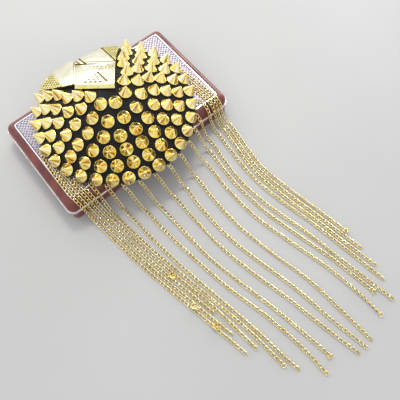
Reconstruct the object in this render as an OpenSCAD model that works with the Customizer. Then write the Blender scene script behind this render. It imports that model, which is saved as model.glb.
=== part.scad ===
// Chain-fringed shoulder epaulette lying on a plain display block.
// Origin: centre of the block's bottom face. +X runs along the block's long edge, -Y is the
// way the chains fall, +Y is the collar side with the embossed plates, and +Z is up.

/* [Block] */
// Length of the block over its metal trim, along X
block_length = 155; // [148:1:180]
// Width of the block over its metal trim, along Y
block_width = 96; // [90:1:110]
// Height of the block, to the top of its panel
block_height = 22; // [20:0.5:26]
// Corner radius of the metal trim
block_corner = 6; // [5:0.5:9]
// Height of the metal trim band
trim_height = 3; // [2:0.5:5]
// Height of the trim band's middle above the floor
trim_middle = 12; // [8:0.5:13]
// Distance of the top panel's edge from the trim's outer face
panel_inset = 7; // [6:0.5:9]
// Thickness of the top panel
panel_thick = 0.6; // [0.4:0.1:1]

/* [Board] */
// Radius of the domed board's rim
rim_radius = 61.5; // [60.5:0.5:62.5]
// Height of the dome's crown above the floor
crown_height = 50; // [49.5:0.5:54]
// Steepness of the dome's flank near the crown, as rise over run
flank_slope = 0.31; // [0.25:0.01:0.31]
// Radius over which the crown is rounded off
crown_round = 6.5; // [4:0.5:12]
// Extra drop per square millimetre of radius
flank_bulge = 0.002; // [0.0012:0.0001:0.002]
// Wall of the board, measured straight down
board_wall = 2.6; // [2:0.1:3]
// Height of the rim's foot above the block's top, where chains pass under it
foot_gap = 1.5; // [1.5:0.1:2.5]
// Distance from the board's centre to the straight cut of its collar edge
collar_cut = 57.4; // [56:0.1:60]

/* [Studs] */
// Diameter of a cone stud
stud_diameter = 9.4; // [8:0.1:9.4]
// Height of a cone stud
stud_height = 7.9; // [5:0.1:10]
// Height of a stud's base over the board under it
stud_seat = 0.25; // [0.2:0.05:0.4]
// Lean of the hand-set studs, in degrees
stud_lean = 2; // [0:0.5:2.5]

/* [Plates] */
// Thickness of an embossed plate
plate_thick = 2.4; // [1.6:0.1:3]
// Height of a plate's underside over the board, where it is nearest
plate_seat = 0.3; // [0.2:0.05:0.6]
// Clear gap between neighbouring plates
plate_gap = 0.8; // [0.4:0.1:1.2]

/* [Chains] */
// Width of a curb chain
chain_width = 2.7; // [2:0.1:2.8]
// Thickness of a curb chain lying flat
chain_thick = 1.3; // [0.8:0.1:1.3]

/* [Hidden] */

// Block: heights of the trim band, and how far the leather faces stand inside it
trim_low = trim_middle - trim_height / 2;
trim_high = trim_middle + trim_height / 2;
trim_wide = 3;
body_inset = 1.5;
cover_inset = 1;
trim_fit = 0.1;
panel_corner = 4;
cover_top = block_height - panel_thick;

// Board: its centre in plan, its foot, how its edge is blunted, and the way its collar cut faces
centre = [-2, -3];
foot = block_height + foot_gap;
rim_nose = 0.6;
rim_lean = 0.2;
profile_step = 3;
collar_angle = 83;

// Plates, seen from the board's centre: where the lines of their two outer edges start and the
// way that each runs, the front plate's left corner, and how its front edge is turned down
wedge_tip = [6, 2];
left_edge = 130;
front_tip = [5.4, -0.7];
right_edge = 57.5;
front_left = [-15.2, 23.2];
turned_run = 2;
turned_drop = 0.9;
turned_wall = 0.6;
turned_bend = 0.4;

// Arcs of studs, set by hand from the crown outwards: how far each arc's own centre stands
// from the board's in X and Y, its radius, and the angles of its first and last stud
arcs = [
    [0.8, 3.6, 13.2, 168, 353],
    [0.3, 1.5, 22.7, 142.5, 380.5],
    [-0.2, 0.4, 32.0, 138.5, 398],
    [-0.7, 0.2, 41.1, 130.5, 402],
    [-1.0, 0.2, 50.1, 129, 402],
    [-0.7, 0.0, 58.9, 130, 405]
];

// Studs: each arc has four more than the one inside it, and each stud leans its own way
first_count = 5;
count_step = 4;
lean_turn = 137;
flange = 1;
flange_bevel = 0.3;
tip_radius = 0.4;

// Chains: the first gap between outer studs that holds one, the radii where a chain starts
// under the rim and leaves it, and the heights that its middle lies at
first_gap = 3;
start_radius = 58.5;
leave_radius = 62;
chain_clear = 0.1;
on_block = block_height + chain_thick / 2 + chain_clear;
on_floor = chain_thick / 2;
panel_y = block_width / 2 - panel_inset;

// How much a free chain has dropped where it leaves the rim, and how its tube is made
rim_drop = 0.5;
chain_sides = 8;
route_steps = 2;

// Where a chain bends over the block's front edge: how far out from the panel's edge, and how
// high as a share of the drop to the floor
over_edge = [[0.3, 1], [4.2, 0.93], [7, 0.73], [8.4, 0.48], [11.5, 0.22]];

// How a chain falls free from the rim: the share of its way out, and its height in the same way,
// with the least distance of its middle from the block's front face
free_fall = [[0.22, 0.78], [0.45, 0.42], [0.7, 0.13]];
face_gap = 1.8;

// Each chain from left to right: its places on the block's top, then on the floor
on_top = [
    [[-66.6, 3], [-67.8, -6], [-68.5, -20], [-68.3, -38]],
    [[-65.1, -14], [-65.5, -26], [-64.9, -38]],
    [[-61.9, -26], [-61.3, -38]],
    [[-57.8, -38]],
    [], [], [], [], [], [], [], [], [], [],
    [[55.4, -38]],
    [[58.6, -29], [59.6, -38]],
    [[61, -22], [62, -31], [62.9, -40]],
    [[62, -2], [63.6, -12], [65.1, -25], [66.2, -40]]
];
on_ground = [
    [[-64.9, -64], [-60, -102], [-54.5, -132], [-48.5, -162], [-42.5, -192], [-40.5, -203]],
    [[-61.4, -64], [-56.5, -102], [-51, -132], [-45, -162], [-39, -188]],
    [[-57.9, -64], [-53, -102], [-47.4, -132], [-41.5, -160], [-40.3, -168]],
    [[-54.4, -64], [-49.5, -102], [-43.9, -132], [-38, -162], [-34.5, -192], [-33, -207]],
    [[-51, -64], [-46, -102], [-40.4, -132], [-34.4, -162], [-29.3, -192], [-26.2, -226]],
    [[-43, -66], [-40, -102], [-36, -132], [-30.8, -162], [-25.7, -192], [-22, -222], [-19.5, -233]],
    [[-31, -76], [-29.2, -102], [-25.5, -132], [-20.5, -162], [-13.3, -192], [-9, -222], [-8, -246]],
    [[-20.3, -80], [-19.2, -102], [-17.5, -132], [-12, -162], [-5.5, -192], [-0.5, -222], [2, -239]],
    [[-7, -82], [-6.8, -102], [-5.5, -132], [-0.5, -162], [6.5, -192], [12, -222], [18.5, -252]],
    [[4.5, -82], [3, -102], [4, -132], [9.5, -162], [15.8, -192], [19.7, -222], [25, -252]],
    [[16.5, -80], [15, -102], [15.7, -132], [20.5, -162], [27, -192], [29.3, -222], [31, -252]],
    [[30.5, -76], [28.8, -102], [30.2, -132], [36.5, -162], [43.5, -192], [47.7, -222], [48.5, -245]],
    [[39.5, -70], [36.7, -102], [38.5, -132], [44.5, -162], [51.3, -192], [55.9, -222], [57.3, -229]],
    [[46, -62], [41.3, -102], [44, -132], [50.5, -162], [55.2, -192], [60, -222], [63, -241]],
    [[55, -62], [51, -102], [53.5, -132], [59.5, -162], [64, -192], [69, -230]],
    [[61, -62], [55.5, -102], [58.2, -132], [63.4, -162], [67.8, -192], [72.5, -218]],
    [[64.8, -62], [59.1, -102], [62, -132], [67.1, -162], [72, -192], [74.5, -204]],
    [[68.6, -62], [62.7, -102], [65.8, -132], [70.8, -162], [75, -186]]
];

// Height of the dome's outer face at radius r, and its slope in degrees there
function dome_z(r) =
    crown_height - flank_slope * (sqrt(r * r + crown_round * crown_round) - crown_round)
    - flank_bulge * r * r;
function dome_tilt(r) =
    atan(flank_slope * r / sqrt(r * r + crown_round * crown_round) + 2 * flank_bulge * r);

// Unit vector in plan at an angle, and a point in plan at a radius and an angle
function ray(a) = [cos(a), sin(a)];
function on_dome(r, a) = [centre.x + r * cos(a), centre.y + r * sin(a)];

// Arc k, counted from 1 at the crown: its count, and the angle and place of its stud j
function arc_count(k) = first_count + count_step * (k - 1);
function stud_angle(k, j) =
    let (arc = arcs[k - 1]) arc[3] + (arc[4] - arc[3]) * j / (arc_count(k) - 1);
function stud_place(k, j) =
    let (arc = arcs[k - 1]) [arc[0], arc[1]] + arc[2] * ray(stud_angle(k, j));

// A rectangle with round corners, centred
module round_rectangle(length, width, corner) {
    square([length - 2 * corner, width], center = true);
    square([length, width - 2 * corner], center = true);
    for (x = [-1, 1], y = [-1, 1])
        translate([x * (length / 2 - corner), y * (width / 2 - corner)])
            circle(r = corner, $fn = 48);
}

// The outline of the block, a distance inside its trim
module block_outline(inset) {
    round_rectangle(block_length - 2 * inset, block_width - 2 * inset, block_corner - inset);
}

// Lower body of the block, with a step that fits inside the trim
module block_base() {
    color("saddlebrown") {
        linear_extrude(trim_low) block_outline(body_inset);
        linear_extrude(trim_middle) block_outline(trim_wide + trim_fit);
    }
}

// Metal band around the block
module block_trim() {
    color("mistyrose")
        translate([0, 0, trim_low])
            linear_extrude(trim_height)
                difference() {
                    block_outline(0);
                    block_outline(trim_wide);
                }
}

// Rounded flank of the cover: from the trim up and in to the panel's edge
flank_in = panel_inset - cover_inset;
flank_high = cover_top - trim_high;
function flank(u) = [flank_in * cos(u), trim_high + flank_high * sin(u)];
module flank_section() {
    polygon(concat([[0, trim_high]], [for (u = [0 : 15 : 90]) flank(u)]));
}

// Upper leather cover of the block: a core with the flank swept round its corners and sides
module block_cover() {
    core_length = block_length - 2 * panel_inset;
    core_width = block_width - 2 * panel_inset;
    color("rosybrown") {
        translate([0, 0, trim_middle])
            linear_extrude(trim_height / 2) block_outline(trim_wide + trim_fit);
        translate([-core_length / 2, -core_width / 2, trim_high])
            cube([core_length, core_width, flank_high]);
        for (x = [-1, 1], y = [-1, 1])
            translate([x * core_length / 2, y * core_width / 2, 0])
                rotate_extrude($fn = 48) flank_section();
        for (s = [0, 180]) rotate(s) {
            translate([core_length / 2, core_width / 2, 0])
                rotate([90, 0, 0]) linear_extrude(core_width) flank_section();
            translate([-core_length / 2, core_width / 2, 0])
                rotate([90, 0, 90]) linear_extrude(core_length) flank_section();
        }
    }
}

// Patterned panel let into the top of the block
module block_panel() {
    color("thistle")
        translate([0, 0, cover_top])
            linear_extrude(panel_thick)
                round_rectangle(
                    block_length - 2 * panel_inset, block_width - 2 * panel_inset, panel_corner
                );
}

// Domed shoulder board: a thin shell, open below, with a flat foot at its rim and a
// straight collar edge
module board() {
    blunt = rim_radius - rim_nose;
    outer = [for (r = [0 : profile_step : blunt - 1]) [r, dome_z(r)]];
    inner = [for (r = [blunt : -profile_step : 1]) [r, max(foot, dome_z(r) - board_wall)]];
    nose = [[blunt, dome_z(blunt)], [rim_radius, foot + rim_nose], [rim_radius - rim_lean, foot]];
    color("#1c1a1e")
        translate([centre.x, centre.y, 0])
            difference() {
                rotate_extrude($fn = 96)
                    polygon(concat(outer, nose, inner, [[0, dome_z(0) - board_wall]]));
                rotate(collar_angle)
                    translate([collar_cut, -rim_radius, 0])
                        cube([rim_radius, 2 * rim_radius, 2 * crown_height]);
            }
}

// One cone stud standing on its flange
module stud() {
    r = stud_diameter / 2;
    rotate_extrude($fn = 32)
        polygon([
            [0, 0], [r - flange_bevel, 0], [r, flange_bevel], [r, flange],
            [r - flange_bevel, flange + flange_bevel],
            [tip_radius, stud_height - tip_radius / 2], [0, stud_height]
        ]);
}

// Arc k of studs, each set square to the dome but for a small lean
module stud_arc(k) {
    color("gold")
        for (j = [0 : arc_count(k) - 1])
            let (p = stud_place(k, j), r = norm(p), turn = lean_turn * (j + k))
                translate([centre.x + p.x, centre.y + p.y, dome_z(r)])
                    rotate([0, dome_tilt(r), atan2(p.y, p.x)])
                        translate([0, 0, stud_seat])
                            rotate([stud_lean * sin(turn), stud_lean * cos(turn), 0])
                                stud();
}

// A plate: its outline in plan from the board's centre, cut from a slab or bar that leans with
// the dome, and whose underside lies over the board at the plate's middle
module plate(outline, middle) {
    r = norm(middle);
    color("lightgoldenrodyellow")
        intersection() {
            translate([centre.x, centre.y, 0]) linear_extrude(2 * crown_height) polygon(outline);
            translate([centre.x + middle.x, centre.y + middle.y, dome_z(r)])
                rotate([0, dome_tilt(r), atan2(middle.y, middle.x)])
                    translate([0, 0, plate_seat])
                        children();
        }
}

// The flat slab that a plate is cut from
module slab() {
    translate([-rim_radius, -rim_radius, 0]) cube([2 * rim_radius, 2 * rim_radius, plate_thick]);
}

// Corners that the plates share: points along the wedge's two edges, and the inner joint
function left_point(t) = wedge_tip + t * ray(left_edge);
function right_point(t) = front_tip + t * ray(right_edge);
joint = [-3, 47.5];
left_joint = left_point(31);
right_joint = right_point(27);
knee = right_point(36);

// Shifts a point at right angles to the line from a to b, to the left of it
function beside(p, a, b, d) = p + d / norm(b - a) * [a.y - b.y, b.x - a.x];

module plate_left() {
    plate([
        left_point(66), [-28, 58], [-19, 61.2], [-4.2, 58.4], [-0.4, 54.4],
        beside(joint, joint, left_joint, -plate_gap / 2),
        beside(left_joint, joint, left_joint, -plate_gap / 2)
    ], [-17, 47])
        slab();
}

module plate_right() {
    plate([
        [1.3, 52.4], [9.4, 53.4], [21, 55.4], [30.5, 53], [35.8, 43.8], knee,
        beside(right_joint, joint, right_joint, plate_gap / 2),
        beside(joint, joint, right_joint, plate_gap / 2) + [1, 1]
    ], [17, 42])
        slab();
}

// The front plate's front edge: the way that it runs, and corners so far out from it
front_angle = atan2(front_left.y - front_tip.y, front_left.x - front_tip.x);
function at_right(out) = right_point(-out / sin(front_angle - right_edge));
function at_left(out) = beside(front_left, front_tip, front_left, out);

// A place in plan, seen from a plate's middle, as a place on the underside of its slab
function in_slab(p, middle) =
    let (lean = dome_tilt(norm(middle)), turn = atan2(middle.y, middle.x), away = p - middle)
    [(away * ray(turn) - plate_seat * sin(lean)) / cos(lean), away * ray(turn + 90)];

// Front plate: its slab and turned-down edge are one bar along the front edge. Its section is
// given as distances out from the edge in plan and over the underside, and leans with the slab.
module plate_front() {
    middle = [4, 23];
    start = in_slab(front_tip, middle);
    run = in_slab(front_left, middle) - start;
    run_angle = atan2(run.y, run.x);
    lean_out = sin(dome_tilt(norm(middle))) * cos(atan2(middle.y, middle.x) - front_angle - 90);
    function leant(out, lift) = [(out - lift * lean_out) / sqrt(1 - lean_out * lean_out), lift];
    plate([
        at_right(turned_run), beside(right_joint, joint, right_joint, -plate_gap / 2),
        beside(joint, joint, right_joint, -plate_gap / 2) - [0, plate_gap],
        beside(left_joint, joint, left_joint, plate_gap / 2), front_left, at_left(turned_run)
    ], middle)
        translate(start - rim_radius * ray(run_angle))
            rotate([90, 0, run_angle + 90])
                linear_extrude(2 * rim_radius + norm(run))
                    polygon([
                        leant(-2 * rim_radius, 0), leant(-2 * rim_radius, plate_thick),
                        leant(0, plate_thick), leant(turned_run, turned_wall - turned_drop),
                        leant(turned_run, -turned_drop),
                        leant(turned_run - turned_bend, -turned_drop), leant(-turned_bend, 0)
                    ]);
}

// Route of chain i, from 0 at the left: under the rim, over the block or straight down, then out
function mix(a, b, t) = a + (b - a) * t;
function height(share) = mix(on_floor, on_block, share);
function chain_angle(i) = (stud_angle(6, first_gap + i) + stud_angle(6, first_gap + i + 1)) / 2;
function bend(a, b) = [for (e = over_edge)
    let (y = -panel_y - e[0]) [mix(a.x, b.x, (a.y - y) / (a.y - b.y)), y, height(e[1])]
];
function fall(a, b) = [for (e = free_fall)
    [mix(a.x, b.x, e[0]), min(mix(a.y, b.y, e[0]), -block_width / 2 - face_gap), height(e[1])]
];
function route(i) =
    let (
        start = on_dome(start_radius, chain_angle(i)),
        leave = on_dome(leave_radius, chain_angle(i)),
        on_edge = leave.y > -panel_y,
        top = [for (p = on_top[i]) [p.x, p.y, on_block]],
        ground = [for (p = on_ground[i]) [p.x, p.y, on_floor]],
        last = len(top) > 0 ? top[len(top) - 1] : leave
    )
    concat(
        [[start.x, start.y, on_block], [leave.x, leave.y, on_edge ? on_block : on_block - rim_drop]],
        top, on_edge ? bend(last, ground[0]) : fall(last, ground[0]), ground
    );

// A point on the smooth curve through p, between p[n] and p[n + 1], no lower than the floor
function curve(p, n, t) =
    let (
        a = p[max(n - 1, 0)], b = p[n], c = p[n + 1], d = p[min(n + 2, len(p) - 1)]
    )
    (2 * b + t * (c - a) + t * t * (2 * a - 5 * b + 4 * c - d) + t * t * t * (3 * b - a - 3 * c + d)) / 2;
function on_or_above(q) = [q.x, q.y, max(q.z, on_floor)];
function smooth(p) = concat(
    [for (n = [0 : len(p) - 2], s = [0 : route_steps - 1]) on_or_above(curve(p, n, s / route_steps))],
    [p[len(p) - 1]]
);

// A flat tube along a route, one ring of corners at each of its points
function unit(v) = v / norm(v);
module chain(i) {
    path = smooth(route(i));
    n = len(path);
    rings = [for (m = [0 : n - 1])
        let (
            ahead = unit(path[min(m + 1, n - 1)] - path[max(m - 1, 0)]),
            side = unit(cross([0, 0, 1], ahead)),
            up = cross(ahead, side)
        )
        for (c = [0 : chain_sides - 1])
            let (a = (c + 0.5) * 360 / chain_sides)
                path[m] + side * cos(a) * chain_width / 2 / cos(180 / chain_sides)
                + up * sin(a) * chain_thick / 2 / cos(180 / chain_sides)
    ];
    walls = [for (m = [0 : n - 2], c = [0 : chain_sides - 1])
        let (e = (c + 1) % chain_sides)
            [m * chain_sides + c, (m + 1) * chain_sides + c, (m + 1) * chain_sides + e, m * chain_sides + e]
    ];
    color("khaki")
        polyhedron(
            rings,
            concat(
                [[for (c = [0 : chain_sides - 1]) c]],
                walls,
                [[for (c = [chain_sides - 1 : -1 : 0]) (n - 1) * chain_sides + c]]
            )
        );
}

block_base();
block_trim();
block_cover();
block_panel();
board();
plate_left();
plate_right();
plate_front();
for (k = [1 : 6])
    stud_arc(k);
for (i = [0 : 17])
    chain(i);
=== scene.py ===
import math
import random

import bmesh
import bpy
from mathutils import Matrix, Vector
from mathutils.noise import noise


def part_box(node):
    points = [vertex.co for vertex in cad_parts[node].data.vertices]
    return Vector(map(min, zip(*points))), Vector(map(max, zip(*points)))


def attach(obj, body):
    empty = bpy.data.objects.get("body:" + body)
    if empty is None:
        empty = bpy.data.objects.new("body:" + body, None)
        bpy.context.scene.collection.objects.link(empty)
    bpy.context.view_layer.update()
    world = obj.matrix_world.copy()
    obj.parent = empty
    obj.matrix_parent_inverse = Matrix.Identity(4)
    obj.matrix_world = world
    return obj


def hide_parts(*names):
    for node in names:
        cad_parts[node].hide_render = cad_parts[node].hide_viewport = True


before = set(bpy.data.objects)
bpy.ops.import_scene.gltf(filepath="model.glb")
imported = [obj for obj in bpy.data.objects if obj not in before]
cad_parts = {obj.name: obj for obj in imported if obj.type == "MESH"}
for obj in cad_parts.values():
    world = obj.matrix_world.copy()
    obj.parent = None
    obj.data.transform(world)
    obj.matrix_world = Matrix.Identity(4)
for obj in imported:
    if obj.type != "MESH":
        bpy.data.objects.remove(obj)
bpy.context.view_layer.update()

# Camera
# The epaulette is looked at from the fringe's side, steeply down, with the block's long
# edge running up to the right. The picture is 400 by 400 pixels.
camera_place = Vector((-0.0648, -0.1847, 0.2989))
camera_turn = math.radians(-38.36)
camera_height = math.radians(68.91)
camera_roll = math.radians(-1.5)
picture_side = 400
focal_pixels = 412.49
sensor = 36
nearest_seen = 0.01

back = Vector((
    math.sin(camera_turn) * math.cos(camera_height),
    -math.cos(camera_turn) * math.cos(camera_height),
    math.sin(camera_height),
))
level_right = Vector((math.cos(camera_turn), math.sin(camera_turn), 0))
level_up = back.cross(level_right)
right = level_right * math.cos(camera_roll) + level_up * math.sin(camera_roll)
up = level_up * math.cos(camera_roll) - level_right * math.sin(camera_roll)
lens = bpy.data.cameras.new("camera")
lens.sensor_width = sensor
lens.lens = sensor * focal_pixels / picture_side
lens.clip_start = nearest_seen
camera = bpy.data.objects.new("camera", lens)
camera.matrix_world = (
    Matrix.Translation(camera_place) @ Matrix((right, up, back)).transposed().to_4x4()
)
bpy.context.collection.objects.link(camera)
bpy.context.scene.camera = camera
bpy.context.scene.view_settings.view_transform = "Standard"


# Display block, lower body
# The epaulette lies on a low case. Its lower body is a stiff tray with round corners, covered
# in smooth reddish-brown leather that is glued on and turned under.
def work_on(piece):
    """Makes one piece the only one selected."""
    bpy.ops.object.select_all(action="DESELECT")
    piece.select_set(True)
    bpy.context.view_layer.objects.active = piece


def pick(piece, kind, wanted):
    """In edit mode, selects only the corners, edges or faces that are wanted."""
    kinds = ("verts", "edges", "faces")
    bpy.context.tool_settings.mesh_select_mode = [kind == each for each in kinds]
    shape = bmesh.from_edit_mesh(piece.data)
    shape.normal_update()
    parts = getattr(shape, kind)
    for part in parts:
        part.select_set(False)
    for part in parts:
        if wanted(part):
            part.select_set(True)
    bmesh.update_edit_mesh(piece.data)


def pick_faces(piece, wanted):
    """Selects only the faces whose middle and normal are wanted."""
    pick(piece, "faces", lambda face: wanted(face.calc_center_median(), face.normal))


def pick_edges(piece, wanted):
    """Selects only the edges whose two ends are wanted."""
    pick(piece, "edges", lambda edge: wanted(edge.verts[0].co, edge.verts[1].co))


def pull_up(height):
    """Extrudes what is selected straight up."""
    bpy.ops.mesh.extrude_region_move(TRANSFORM_OT_translate={"value": (0, 0, height)})


def start_slab(name, low, high):
    """A rectangular slab between two corners, open in edit mode."""
    bpy.ops.object.select_all(action="DESELECT")
    bpy.ops.mesh.primitive_cube_add(size=1, location=(low + high) / 2, scale=high - low)
    bpy.ops.object.transform_apply(location=True, rotation=True, scale=True)
    slab = bpy.context.object
    slab.name = slab.data.name = name
    bpy.ops.object.mode_set(mode="EDIT")
    return slab


hair = 1e-5


def is_upright(a, b):
    """Whether the line from a to b stands straight up, within a hair."""
    return (a - b).to_2d().length < hair


def round_corners(slab, radius, steps):
    """Rounds the four upright corner edges of a slab."""
    pick_edges(slab, is_upright)
    bpy.ops.mesh.bevel(offset=radius, segments=steps, affect="EDGES", clamp_overlap=False)


def shade(piece, angle=30):
    """Shades a piece smooth over every edge that turns less than an angle in degrees."""
    work_on(piece)
    bpy.ops.object.shade_smooth_by_angle(angle=math.radians(angle))


def soften(piece, width, steps, angle=40):
    """Takes the sharpness off the edges that turn more than an angle in degrees."""
    work_on(piece)
    edge = piece.modifiers.new("soft edges", "BEVEL")
    edge.width = width
    edge.segments = steps
    edge.limit_method = "ANGLE"
    edge.angle_limit = math.radians(angle)
    bpy.ops.object.modifier_apply(modifier=edge.name)
    shade(piece)


def hand_over(piece, slot, node, *finishes):
    """Gives a finished piece its materials, hangs it under the root body and hides the solid that it
    stands for. The slot is not used.
    """
    for finish in finishes:
        piece.data.materials.append(finish)
    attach(piece, "root")
    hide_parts(node)


def fill(socket, value):
    """Sets a socket to a plain value, or wires another socket into it."""
    if isinstance(value, bpy.types.NodeSocket):
        socket.id_data.links.new(value, socket)
    else:
        socket.default_value = value


def wire_up(node, **sockets):
    """Fills a node's sockets by their names, with _ for each space."""
    for key, value in sockets.items():
        fill(node.inputs[key.replace("_", " ")], value)


def put(near, kind, settings=None, **sockets):
    """Adds one node to the finish that a node or socket is in."""
    node = near.id_data.nodes.new("ShaderNode" + kind)
    for key, value in (settings or {}).items():
        setattr(node, key, value)
    wire_up(node, **sockets)
    return node


def new_finish(name, **sockets):
    """A node material with the shader's plain sockets set, and the place on the piece."""
    finish = bpy.data.materials.new(name)
    finish.use_nodes = True
    shader = finish.node_tree.nodes["Principled BSDF"]
    wire_up(shader, **sockets)
    return finish, shader, put(shader, "TexCoord").outputs["Object"]


def speckle(place, scale, detail=2.0, rough=0.5):
    """A cloudy pattern from 0 to 1, with so many clouds to the metre."""
    clouds = put(place, "TexNoise", Vector=place, Scale=scale, Detail=detail, Roughness=rough)
    return clouds.outputs["Fac"]


def tint(share, *stops):
    """A colour that changes with a share. Each stop is a place and a colour."""
    ramp = put(share, "ValToRGB", Fac=share)
    points = ramp.color_ramp.elements
    while len(points) < len(stops):
        points.new(0.5)
    for point, (place, colour) in zip(points, stops):
        point.position = place
        point.color = (*colour, 1)
    return ramp.outputs["Color"]


def between(share, low, high, from_low=0.3, from_high=0.7):
    """A number that goes from low to high as a share goes up between two levels."""
    spread = {"From_Min": from_low, "From_Max": from_high, "To_Min": low, "To_Max": high}
    return put(share, "MapRange", Value=share, **spread).outputs["Result"]


def relief(height, depth, under=None):
    """A fine surface relief that is so deep, over another one where that is given."""
    sockets = {"Height": height, "Distance": depth, "Strength": 1.0}
    if under:
        sockets["Normal"] = under
    return put(height, "Bump", **sockets).outputs["Normal"]


tray_corner = 0.0045
corner_steps = 8
tray_low, tray_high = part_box("block_base")
fitted_in = 0.0016
step_height = 0.0015
soft_edge = 0.0006
leather_deep = (0.085, 0.014, 0.010)
leather_warm = (0.165, 0.034, 0.025)
leather_pale = (0.24, 0.062, 0.048)

tray = start_slab("block_body", tray_low, tray_high - Vector((0, 0, step_height)))
round_corners(tray, tray_corner, corner_steps)
pick_faces(tray, lambda middle, normal: normal.z > 0.9)
bpy.ops.mesh.inset(thickness=fitted_in, depth=0)
pull_up(step_height)
bpy.ops.object.mode_set(mode="OBJECT")
soften(tray, soft_edge, 3)

# Smooth coated leather: soft clouds of brown, a cell-like grain and shallow wrinkles.
body_leather, shader, place = new_finish(
    "body_leather", Coat_Weight=0.35, Coat_Roughness=0.14, Specular_IOR_Level=0.3
)
clouds = speckle(place, 55, 4)
wrinkle = speckle(place, 420, 3)
grain = put(
    place, "TexVoronoi", {"feature": "DISTANCE_TO_EDGE"}, Vector=place, Scale=1100
).outputs["Distance"]
wire_up(
    shader,
    Base_Color=tint(clouds, (0.3, leather_deep), (0.5, leather_warm), (0.72, leather_pale)),
    Roughness=between(wrinkle, 0.28, 0.42),
    Normal=relief(grain, 0.00006, relief(wrinkle, 0.00004)),
)
hand_over(tray, "block_leather", "block_base", body_leather)


# Display block, metal band
# A thin rolled metal band runs round the case where the cover meets the body. It is bright,
# with a faint pink cast painted into its colour as a painted reflection of the leather beside
# it, and is pressed on from above.
trim_low, trim_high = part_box("block_trim")
trim_corner = 0.006
trim_width = 0.003
trim_edge = 0.0007

trim = start_slab("block_band", trim_low, trim_high)
round_corners(trim, trim_corner, 10)
pick_faces(trim, lambda middle, normal: abs(normal.z) > 0.9)
bpy.ops.mesh.inset(thickness=trim_width, depth=0)
bpy.ops.mesh.bridge_edge_loops()
bpy.ops.object.mode_set(mode="OBJECT")
soften(trim, trim_edge, 4)

band_metal, shader, place = new_finish("band_metal", Metallic=1.0)
rubbing = speckle(place, 160, 5)
fine_lines = speckle(place, 3000, 2)
# The pink in these colours is a painted reflection of the leather beside the band.
wire_up(
    shader,
    Base_Color=tint(rubbing, (0.35, (0.62, 0.49, 0.48)), (0.65, (0.80, 0.70, 0.70))),
    Roughness=between(rubbing, 0.12, 0.3),
    Normal=relief(fine_lines, 0.00004),
)
hand_over(trim, "block_metal", "block_trim", band_metal)


# Display block, cover
# The upper half of the case is a shallow lid whose flanks curve up and in to the panel. It
# is covered in the same leather, stretched smooth round the corners.
cover_low, cover_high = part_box("block_cover")
trim_proud = 0.001
trim_fit = 0.0001
lip_height = 0.0015
flank_in = 0.006
flank_high = 0.0079
flank_round = flank_in * 0.998
flank_steps = 12

flank_low = Vector((cover_low.x, cover_low.y, cover_high.z - flank_high))
flank_top = Vector((cover_high.x, cover_high.y, flank_low.z + flank_in))
cover = start_slab("block_cover_leather", flank_low, flank_top)
pick_edges(cover, lambda a, b: is_upright(a, b) or min(a.z, b.z) > flank_low.z + flank_in / 2)
bpy.ops.mesh.bevel(offset=flank_round, segments=flank_steps, affect="EDGES", clamp_overlap=False)
bpy.ops.mesh.select_all(action="SELECT")
bpy.ops.transform.resize(
    value=(1, 1, flank_high / flank_in), center_override=(0, 0, flank_low.z)
)
pick_faces(cover, lambda middle, normal: normal.z < -0.9)
bpy.ops.mesh.inset(thickness=trim_width - trim_proud + trim_fit, depth=0)
pull_up(-lip_height)
bpy.ops.object.mode_set(mode="OBJECT")
shade(cover, 35)
hand_over(cover, "block_leather", "block_cover", body_leather)


# Display block, top panel
# A thin printed sheet is glued into the top of the lid, with a seam round it painted near
# black as painted shade. It is mauve and silver, with a lattice of dots and rings, a pale border
# and a line pressed in whose walls are painted dark as painted shade.
panel_low, panel_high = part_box("block_panel")
panel_corner = 0.004
seam_wide = 0.0005
seam_deep = 0.0002
border_wide = 0.0009
line_wide = 0.0006
line_deep = 0.0002
motif = 0.003
dot_levels = (0.98, 1.26)
ring_level = 0.7
ring_tone = 0.75
ring_levels = (0.09, 0.18)

panel = start_slab("block_panel_sheet", panel_low, panel_high)
round_corners(panel, panel_corner, corner_steps)
pick_faces(panel, lambda middle, normal: normal.z > 0.999)
bpy.ops.mesh.inset(thickness=seam_wide, depth=0)
bpy.ops.mesh.inset(thickness=seam_deep / 2, depth=seam_deep)
bpy.ops.mesh.inset(thickness=border_wide, depth=0)
bpy.ops.mesh.inset(thickness=line_wide / 2, depth=-line_deep)
bpy.ops.mesh.inset(thickness=line_wide / 2, depth=line_deep)
bpy.ops.object.mode_set(mode="OBJECT")
made_top = max(corner.co.z for corner in panel.data.vertices)
panel.data.transform(Matrix.Translation((0, 0, panel_high.z - made_top)))
shade(panel)

# Painted shade: a near-black finish for the seam's gap round the sheet.
seam_painted_shade, shader, place = new_finish("seam_painted_shade", Roughness=0.5)
seam_mottle = speckle(place, 600, 3)
wire_up(
    shader,
    Base_Color=tint(seam_mottle, (0.3, (0.012, 0.006, 0.008)), (0.7, (0.04, 0.02, 0.024))),
)

border_sheet, shader, place = new_finish(
    "border_sheet", Metallic=0.7, Coat_Weight=0.5, Coat_Roughness=0.1
)
bloom = speckle(place, 90, 4)
wire_up(
    shader,
    Base_Color=tint(bloom, (0.3, (0.74, 0.67, 0.73)), (0.7, (0.88, 0.84, 0.89))),
    Roughness=between(bloom, 0.2, 0.34),
    Normal=relief(speckle(place, 1500, 2), 0.00003),
)

# Painted shade: a dark finish for the walls of the line pressed in round the field.
line_painted_shade, shader, place = new_finish("line_painted_shade", Metallic=0.5)
patches = speckle(place, 500, 3)
wire_up(
    shader,
    Base_Color=tint(patches, (0.3, (0.05, 0.03, 0.045)), (0.7, (0.14, 0.09, 0.13))),
    Roughness=between(speckle(place, 900, 2), 0.3, 0.45),
)


def maths(operation, *values):
    """The result of a sum on a socket and others or plain numbers."""
    node = put(values[0], "Math", {"operation": operation})
    for socket, value in zip(node.inputs, values):
        fill(socket, value)
    return node.outputs[0]


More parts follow.
